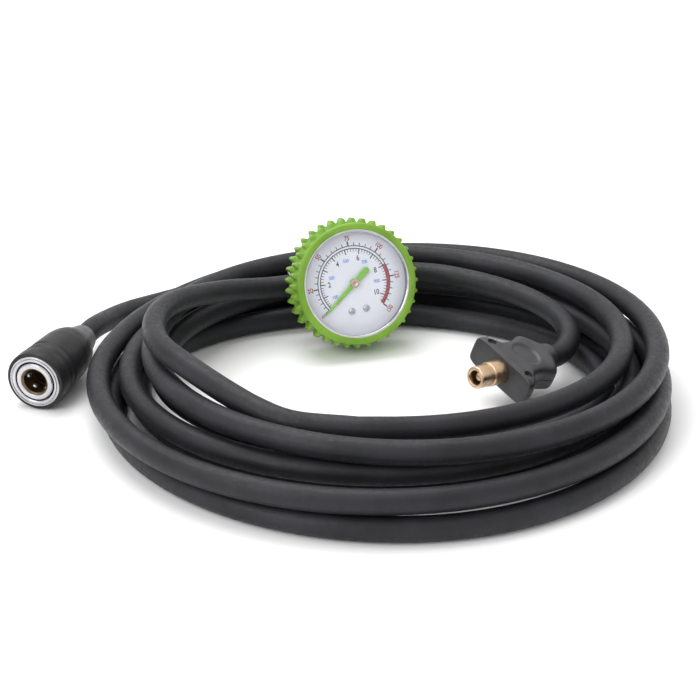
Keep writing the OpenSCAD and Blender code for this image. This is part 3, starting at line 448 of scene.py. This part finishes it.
def printed(name, strips, words, colour):
    """Ink that stands 0.03 mm above the dial. A strip is (angle from, angle to, inner radius, outer
    radius), cut about every 3 degrees; a word is (text, height, radius, angle, turn), with its
    middle on that radius."""
    points, faces, count = [], [], 0
    for a0, a1, r0, r1 in strips:
        a = np.linspace(a0, a1, max(2, int(abs(a1 - a0) / 0.05) + 1))
        loop = np.concatenate([np.stack([r0 * np.cos(a), r0 * np.sin(a)], axis=-1),
                               np.stack([r1 * np.cos(a[::-1]), r1 * np.sin(a[::-1])], axis=-1)])
        n = len(loop)
        loop = loop if a1 < a0 else loop[::-1]
        points += [np.column_stack([loop, np.full(n, z)]) for z in (dial_top + ink_sunk, dial_top + ink_top)]
        under, over = count, count + n
        faces += [(over + k, over + k + 1, over + n - 2 - k, over + n - 1 - k) for k in range(len(a) - 1)]
        faces += [(under + n - 1 - k, under + n - 2 - k, under + k + 1, under + k) for k in range(len(a) - 1)]
        faces += [(under + k, under + (k + 1) % n, over + (k + 1) % n, over + k) for k in range(n)]
        count += 2 * n
    for text, height, radius, angle, turn in words:
        curve = bpy.data.curves.new("number", "FONT")
        curve.body, curve.size, curve.extrude, curve.resolution_u = text, height / cap_share, letter_half, 3
        curve.align_x, curve.align_y = "CENTER", "CENTER"
        curve.space_character, curve.offset = 0.97, height * letter_bold
        holder = bpy.data.objects.new("number", curve)
        bpy.context.scene.collection.objects.link(holder)
        bpy.context.view_layer.update()
        flat = holder.evaluated_get(bpy.context.evaluated_depsgraph_get()).to_mesh()
        co = np.zeros(len(flat.vertices) * 3)
        flat.vertices.foreach_get("co", co)
        co = co.reshape(-1, 3) * [letter_width, 1, 1]
        co[:, :2] -= (co[:, :2].max(0) + co[:, :2].min(0)) / 2
        middle = [radius * math.cos(angle), radius * math.sin(angle), dial_top + (ink_sunk + ink_top) / 2]
        points.append(co @ turned_by("z", turn).T + middle)
        faces += [tuple(count + v for v in p.vertices) for p in flat.polygons]
        count += len(co)
        holder.to_mesh_clear()
        bpy.data.objects.remove(holder)
    mesh = bpy.data.meshes.new(name)
    mesh.from_pydata((on_dial(np.vstack(points)) * mm).tolist(), [], faces)
    work = bmesh.new()
    work.from_mesh(mesh)
    bmesh.ops.remove_doubles(work, verts=work.verts, dist=1e-6)
    work.to_mesh(mesh)
    work.free()
    ink = finish_of(name, colour, 0.4)
    tinted(ink, grain(ink, "Object", 500), colour, tuple(min(1, c * 1.35 + 0.02) for c in colour))
    raised(ink, grain(ink, "Object", 2500), 0.00001)
    mesh.materials.append(ink)
    made = bpy.data.objects.new(name, mesh)
    bpy.context.scene.collection.objects.link(made)
    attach(made, "base")


def tick(reading, r0, r1, width):
    """A radial mark of that width at a reading."""
    a = scale_angle(reading)
    half = width / (r0 + r1)
    return (a + half, a - half, r0, r1)


full_scale, red_from, inner_unit = 150, 113, 14.22
outer_rim, inner_rim, red_band = (20.85, 21.4), (19.3, 19.85), (19.1, 21.1)
black_strips = [(*scale_angle([0, full_scale]), *outer_rim), (*scale_angle([0, red_from]), *inner_rim)]
for mark in range(0, full_scale + 1, 5):
    black_strips.append(tick(mark, 21, *((23.9, 0.8) if mark % 25 == 0 else (23.0, 0.44))))
for mark in range(53):
    start, width = (16.6, 0.62) if mark % 5 == 0 else (17.8, 0.34)
    black_strips.append(tick(mark * inner_unit / 5, start, 19.5, width))
black_words = [(str(v), 3.1, 14.4, scale_angle(v * inner_unit), 0) for v in (2, 4, 6, 8, 10)]
printed("ink_black", black_strips, black_words, (0.012, 0.012, 0.015))
red_words = [(str(v), 2.8, 25.6, scale_angle(v), math.degrees(scale_angle(v)) - 90)
             for v in range(0, full_scale, 25)]
red_words.append((str(full_scale), 2.7, 25.6, scale_angle(full_scale), 45))
printed("ink_red", [(*scale_angle([red_from, full_scale]), *red_band)], red_words, (0.32, 0.010, 0.03))
blue_places = ((100, 205), (300, 156), (500, 100), (700, 52), (900, -7))
blue_words = [(str(v), 2.1, 13.4, math.radians(degrees), 0) for v, degrees in blue_places]
printed("ink_blue", [], blue_words, (0.05, 0.22, 0.62))

# ---- Pointer and dial screws ----
# The pointer is stamped from thin sheet and painted green: a slim blade and a thick blunt tail on a
# round boss, pressed on the spindle with its brass hub. Two bright pan-head screws hold the dial.
pointer_z, pointer_len, pointer_tail, boss_r, rest_turn = -6.8, 25.0, 11.6, 2.75, -144


def pointer_surface():
    """Half width along the pointer: a blunt tail, a waist, the boss's circle and a blade that
    tapers to its tip; across it a low rounded back of 0.55 mm."""
    x = np.concatenate([-pointer_tail + 2 * (1 - np.cos(np.linspace(0, np.pi / 2, 9))),
                        np.linspace(-9.4, -2.9, 14), 2.7 * np.sin(np.linspace(-1.3, 1.3, 25)),
                        np.linspace(2.9, pointer_len - 1, 30), [pointer_len - 0.4, pointer_len]])
    arm = np.interp(x, [-pointer_tail, -9.85, -3, 0, 2.8, pointer_len - 2, pointer_len],
                    [1.95, 1.98, 1.55, 1.5, 1.4, 0.6, 0.2])
    nose = 2 ** 2 - (np.clip(-pointer_tail + 2 - x, 0, 2)) ** 2
    arm = np.minimum(arm, np.sqrt(np.maximum(nose, 0)))
    half = np.maximum(arm, np.sqrt(np.maximum(boss_r ** 2 - x * x, 0)))
    side = np.array([-1, -0.97, -0.85, -0.5, 0, 0.5, 0.85, 0.97, 1])
    top = np.stack([x[:, None] + 0 * side, half[:, None] * side,
                    pointer_z + 0.3 + 0.25 * np.sqrt(1 - side ** 2)[None] + 0 * x[:, None]], axis=-1)
    under = top[:, ::-1].copy()
    under[..., 2] = pointer_z + 0.02
    loops = np.concatenate([top, under], axis=1)[:, ::-1]
    tips = [np.repeat(loops[e].mean(0)[None, None], loops.shape[1], axis=1) for e in (0, -1)]
    return on_dial(np.concatenate([tips[0], loops, tips[1]]) @ turned_by("z", rest_turn).T)


pointer_green = finish_of("pointer_green", (0.20, 0.50, 0.03), 0.38)
tinted(pointer_green, grain(pointer_green, "Object", 200), (0.17, 0.44, 0.02), (0.24, 0.56, 0.04))
raised(pointer_green, grain(pointer_green, "Object", 1500), 0.00002)
needle = skin("needle", pointer_surface(), pointer_green, slope=40)
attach(needle, "pointer_set")
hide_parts("pointer")
hub_metal = finish_of("hub_metal", (0.62, 0.46, 0.37), 0.3, 1.0)
tinted(hub_metal, grain(hub_metal, "Object", 300), (0.52, 0.38, 0.30), (0.70, 0.54, 0.45))
roughened(hub_metal, grain(hub_metal, "Object", 700), 0.24, 0.4)
lathe_marks(hub_metal, 0.000006)
hub_profile = np.array([[0, 0.72], [0.5, 0.72], [0.8, 1.1], [1.6, 1.75], [2.3, 1.6], [2.5, 1.2], [2.5, 0.5],
                        [1.15, 0.5], [1.15, -0.4], [0, -0.4]])
hub = turned("hub", hub_profile + [0, pointer_z], on_dial, hub_metal, 0.12, 64)
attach(hub, "pointer_set")
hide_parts("pointer_hub")


def screw_head(at, r, base, height, place):
    """A pan head: z = 0.3 h + 0.7 h (1 - (r/R)^4) above its base, less a cross about 0.5 mm wide
    and 0.5 mm deep that reaches 0.6 of the way out."""
    a = np.linspace(0, 2 * np.pi, 64, endpoint=False)
    t = np.concatenate([[0], np.linspace(0.04, 0.9, 26), [0.96, 1, 1, 1, 0]])[:, None]
    x, y = t * r * np.cos(a), t * r * np.sin(a)
    cross = np.maximum(rise((0.24 - np.abs(x)) / 0.1 + 0.5), rise((0.24 - np.abs(y)) / 0.1 + 0.5))
    cut = cross * rise((0.62 - t) / 0.1 + 0.5)
    z = base + 0.3 * height + 0.7 * height * (1 - t ** 4) - 0.5 * cut
    z[-2:] = base
    return place(np.stack([x + at[0], y + at[1], z], axis=-1)[::-1])


for side, name in ((-1, "dial_screw_left"), (1, "dial_screw_right")):
    head = skin(name, screw_head((side * 4.3, -15.5), 2.0, dial_top, 1.3, on_dial), steel, slope=40)
    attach(head, "base")
    if side > 0:
        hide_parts("dial_screws")

# ---- Tee and its ferrules ----
# A brass tee stands behind the gauge and carries it on its branch; two plated ferrules crimp the
# hoses on its barbs, each with three pressed rings.
ferrule_r, ferrule_bore = 8.2, 6.3
dressed(brass, "brass_tee")


def on_tee(p):
    """The tee's run lies along x; local z is x."""
    return np.asarray(p, float) @ turned_by("y", 90).T + tee_at


plated = finish_of("plated", (0.72, 0.72, 0.73), 0.25, 1.0)
tinted(plated, grain(plated, "Object", 120), (0.66, 0.66, 0.68), (0.78, 0.78, 0.79))
roughened(plated, grain(plated, "Object", 350), 0.2, 0.36)
lathe_marks(plated, 0.000006)
for side, name in ((-1, "left_ferrule"), (1, "right_ferrule")):
    z = np.linspace(tee_half, crimp_end, 121)
    pressed = 0.55 * sum(np.exp(-((z - middle) / 0.9) ** 4) for middle in (16, 21, 26))
    r = ferrule_r - pressed - 0.5 * rise((z - crimp_end + 0.6) / 0.6) - 0.5 * rise((tee_half + 0.6 - z) / 0.6)
    bore = [[ferrule_bore, side * crimp_end], [ferrule_bore, side * tee_half]]
    profile = np.vstack([np.stack([r, side * z], axis=-1), bore])
    ferrule = turned(name + "_crimped", profile, on_tee, plated, 0.05, 96, 50)
    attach(ferrule, "base")
    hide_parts(name)


# ---- Coupler ----
# A socket coupler: black sleeve with two grooves over a sprung bright ring, a plated nose ring, a
# brass bore with six locking balls and its seal, and a grey ferrule over the hose.
def on_coupler(p):
    """Local z out of the mouth; the axis is level and turned 33 degrees left of -Y."""
    return np.asarray(p, float) @ (turned_by("z", -coupler_turn) @ turned_by("x", 90)).T + mouth_at


sleeve_black = finish_of("sleeve_black", (0.017, 0.017, 0.018), 0.4, Specular_IOR_Level=0.25)
tinted(sleeve_black, grain(sleeve_black, "Object", 90), (0.013, 0.013, 0.014), (0.022, 0.022, 0.024))
roughened(sleeve_black, grain(sleeve_black, "Object", 260), 0.34, 0.48)
raised(sleeve_black, grain(sleeve_black, "Object", 1600), 0.00003)
sleeve = turned("sleeve_body", [[14.4, -0.6], [14.6, -0.3], [15.5, -0.3], [16.1, -0.8], [16.3, -1.6],
                                [16.3, -8.6], [15.6, -9.1], [15.6, -12.1], [15.9, -12.6], [15.8, -15],
                                [15.2, -15.5], [15.1, -18.1], [15.6, -18.6], [15.2, -28], [14.8, -35],
                                [13.9, -41], [12.3, -46], [10.6, -46], [10.6, -42], [13, -38], [13, -11],
                                [14.4, -11]], on_coupler, sleeve_black, 0.45, 160)
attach(sleeve, "sleeve")
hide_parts("coupler_sleeve")
ring_steel = finish_of("ring_steel", (0.52, 0.52, 0.54), 0.26, 1.0)
tinted(ring_steel, grain(ring_steel, "Object", 140), (0.47, 0.47, 0.49), (0.56, 0.56, 0.58))
roughened(ring_steel, grain(ring_steel, "Object", 400), 0.2, 0.36)
lathe_marks(ring_steel, 0.000004)
face_ring = turned("face_ring", [[11.2, -0.5], [11.5, -0.1], [11.9, 0.1], [12.7, 0.1], [12.9, -0.7],
                                 [13.35, -0.7], [13.5, 0.05], [14.05, 0.05], [14.4, -0.4], [14.4, -11],
                                 [9.3, -11], [9.3, -7.5], [11.2, -2.5]], on_coupler, ring_steel, 0.15, 160)
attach(face_ring, "sleeve")
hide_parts("sleeve_face_ring")
nose_ring = turned("nose_ring", [[7.6, -0.3], [7.9, 0.3], [9.9, 0.3], [10.5, -0.3], [10.5, -2.0],
                                 [9.8, -2.2], [7.6, -2.2]], on_coupler, ring_steel, 0.12, 160)
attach(nose_ring, "base")
# The coupler's body is brass painted dark brown all over: painted shade, standing in for the shade inside the
# coupler's bore, where only its front rim shows.
bore_shade_brass = finish_of("bore_shade_brass", (0.16, 0.11, 0.07), 0.4, 1.0)
tinted(bore_shade_brass, grain(bore_shade_brass, "Object", 160), (0.11, 0.075, 0.05), (0.22, 0.155, 0.09))
roughened(bore_shade_brass, grain(bore_shade_brass, "Object", 450), 0.3, 0.5)
raised(bore_shade_brass, grain(bore_shade_brass, "Object", 2500), 0.00001)
dressed(bore_shade_brass, "coupler_body")
dressed(brass, "hose_adapter", "valve_poppet")
dressed(steel, "sleeve_spring", "poppet_spring", *(f"lock_ball_{number}" for number in range(1, 7)))
black_rubber = finish_of("black_rubber", (0.02, 0.02, 0.02), 0.55)
tinted(black_rubber, grain(black_rubber, "Object", 150), (0.015, 0.015, 0.016), (0.03, 0.03, 0.031))
raised(black_rubber, grain(black_rubber, "Object", 2000), 0.00003)
dressed(black_rubber, "bore_seal")
collar_grey = finish_of("collar_grey", (0.11, 0.11, 0.115), 0.45, 0.3)
tinted(collar_grey, grain(collar_grey, "Object", 120), (0.09, 0.09, 0.095), (0.14, 0.14, 0.145))
roughened(collar_grey, grain(collar_grey, "Object", 400), 0.36, 0.52)
lathe_marks(collar_grey, 0.00001)
collar = turned("collar", [[6.3, -60], [7.5, -60], [8.2, -57.4], [9.1, -53], [10.0, -49], [10.2, -47],
                           [10.2, -42.1], [6.3, -42.1]], on_coupler, collar_grey, 0.6, 96)
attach(collar, "base")
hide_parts("coupler_ferrule")


# ---- Chuck's grip ----
# Two mouldings of dark plastic screwed together round the nozzle's shank: a winged front plate, a
# waist, a broad back and a short tail over the hose, with an oval thumb dish in each half.
grip_back, dish_deep, pocket_deep, joint_gap = 39, 1.1, 3.4, 0.01


def on_chuck(p):
    """Local z out of the nozzle, x along the wings and y out of the grip's top."""
    return np.asarray(p, float) @ chuck_frame.T + chuck_at


def grip_half(side):
    """The section at each z is half a rounded rectangle |x/w|^n + |y/t|^n = 1 outside and half a
    circle inside. Half width w, half thickness t and power n follow z; the outside sinks by an
    oval bowl, a round screw pocket near each wing tip, a groove behind the front lip and a parting
    line at the joint."""
    z = np.concatenate([-grip_back + 0.5 * (1 - np.cos(np.linspace(0, np.pi / 2, 6))),
                        np.linspace(-38.3, -1.1, 130), -1.0 * (1 - np.sin(np.linspace(0, np.pi / 2, 9)))])
    w = np.interp(z, [-grip_back, -34, -31.6, -29.4, -27, -24, -19.5, -15, -11, -7.8, -5.5, -3, 0],
                  [8.3, 8.75, 12.0, 15.2, 16.4, 15.5, 13.9, 13.5, 14.2, 18.0, 21.0, 21.9, 21.7])
    w = np.convolve(np.pad(w, 4, mode="edge"), np.ones(9) / 9, mode="valid")
    t = np.interp(z, [-grip_back, -35, -31, 0], [8.2, 8.4, 8.5, 8.5])
    n = np.interp(z, [-grip_back, -34, -30, -26, 0], [2, 2.3, 3.6, 5, 6])
    lip = 0.8 * (1 - np.sqrt(1 - np.clip(1.0 + z, 0, 1) ** 2))
    heel = 0.5 * (1 - np.sqrt(1 - np.clip((-38.5 - z) / 0.5, 0, 1) ** 2))
    w, t = w - lip - heel, t - lip - heel
    corner = 2 ** (-1 / n)
    s = np.concatenate([np.array([0, 0.006, 0.014, 0.024, 0.04]), np.linspace(0.07, 1, 16)])
    up_y = np.outer(corner, s)
    up_x = (1 - up_y ** n[:, None]) ** (1 / n[:, None])
    over_x = np.outer(corner, np.linspace(1, -1, 131)[1:-1])
    over_y = (1 - np.abs(over_x) ** n[:, None]) ** (1 / n[:, None])
    x = np.concatenate([up_x, over_x, -up_x[:, ::-1]], axis=1) * w[:, None]
    y = np.concatenate([up_y, over_y, up_y[:, ::-1]], axis=1) * t[:, None]
    zz = z[:, None] + 0 * x
    dish = dish_deep * rise((1.05 - (x / 9.6) ** 2 - ((zz + 17.2) / 7.2) ** 2) / 0.5)
    pocket = pocket_deep * rise((2.2 - np.hypot(np.abs(x) - 14.5, zz + 4.5)) / 0.35 + 0.5)
    groove = np.exp(-((zz + 1.75) / 0.38) ** 4)
    topside = rise((y / t[:, None] - 0.6) / 0.25)
    y = y - topside * (dish + pocket + 0.35 * groove)
    x = x - np.sign(x) * (1 - topside) * 0.3 * groove
    seam = np.exp(-(y / 0.22) ** 2) * (zz < -0.3)
    x = x - np.sign(x) * 0.22 * seam
    y = y + joint_gap
    bore = np.interp(z, [-grip_back, -29.1, -29, -21.8, -21.7, -17.5, -17.4, -11.1, -11, 0],
                     [6.6, 6.6, 7.25, 7.25, 6.6, 6.6, 6.85, 6.85, 5.3, 5.3])
    turn = np.linspace(0, np.pi, x.shape[1])[None]
    inner = np.stack([bore[:, None] * np.cos(turn), bore[:, None] * np.sin(turn) + joint_gap, zz], axis=-1)
    grid = np.concatenate([np.stack([x, y, zz], axis=-1), inner[:, ::-1]], axis=1)
    grid[..., 1] *= side
    return grid if side > 0 else grid[:, ::-1]


def grip_ends(grid):
    """The two end faces, as strips between the outside and the bore, added as rows that fold on
    themselves: each end row runs half way round twice and meets itself."""
    half = grid.shape[1] // 2
    ends = []
    for e in (0, -1):
        row = grid[e].copy()
        middle = (row[:half] + row[half:][::-1]) / 2
        ends.append(np.concatenate([middle, middle[::-1]])[None])
    return np.concatenate([ends[0], grid, ends[1]])


grip_plastic = finish_of("grip_plastic", (0.030, 0.030, 0.033), 0.42)
tinted(grip_plastic, grain(grip_plastic, "Object", 80), (0.024, 0.024, 0.027), (0.040, 0.040, 0.044))
roughened(grip_plastic, grain(grip_plastic, "Object", 240), 0.34, 0.5)
raised(grip_plastic, grain(grip_plastic, "Object", 1800), 0.00004)
for side, name, node_name in ((1, "grip_upper", "grip_top"), (-1, "grip_lower", "grip_bottom")):
    half = skin(name, on_chuck(grip_ends(grip_half(side))), grip_plastic, slope=45)
    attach(half, "chuck_head")
    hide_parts(node_name)
dressed(steel, "grip_screws", "chuck_ferrule", "pin_spring")
dressed(black_rubber, "nozzle_seal", "stem_seal")
dressed(brass, "swivel_stem")

# ---- Chuck's nozzle and pin ----
# A brass nozzle turned in two steps screws over the tyre's valve; the slotted pin in its bore pushes
# the valve open.
turned_brass = finish_of("turned_brass", (0.66, 0.48, 0.31), 0.32, 1.0)
tinted(turned_brass, grain(turned_brass, "Object", 130), (0.56, 0.39, 0.24), (0.74, 0.56, 0.39))
roughened(turned_brass, grain(turned_brass, "Object", 420), 0.26, 0.44)
lathe_marks(turned_brass, 0.000025)
nozzle = turned("nozzle", [[3.9, 16.6], [3.9, 18.6], [4.3, 19], [5.5, 19], [6.0, 18.5], [6.0, 9.6],
                           [6.2, 9.4], [6.6, 9.2], [6.6, 0.1], [5.2, 0.1], [5.2, -11.1], [6.7, -11.1],
                           [6.7, -13.9], [3.4, -13.9], [3.4, -1.4], [1.6, -1.4], [1.6, 2], [2.6, 2],
                           [2.6, 7.5], [4.15, 7.5], [4.15, 16.6]], on_chuck, turned_brass, 0.2, 128)
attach(nozzle, "chuck_head")
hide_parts("brass_nozzle")
dressed(turned_brass, "valve_pin")
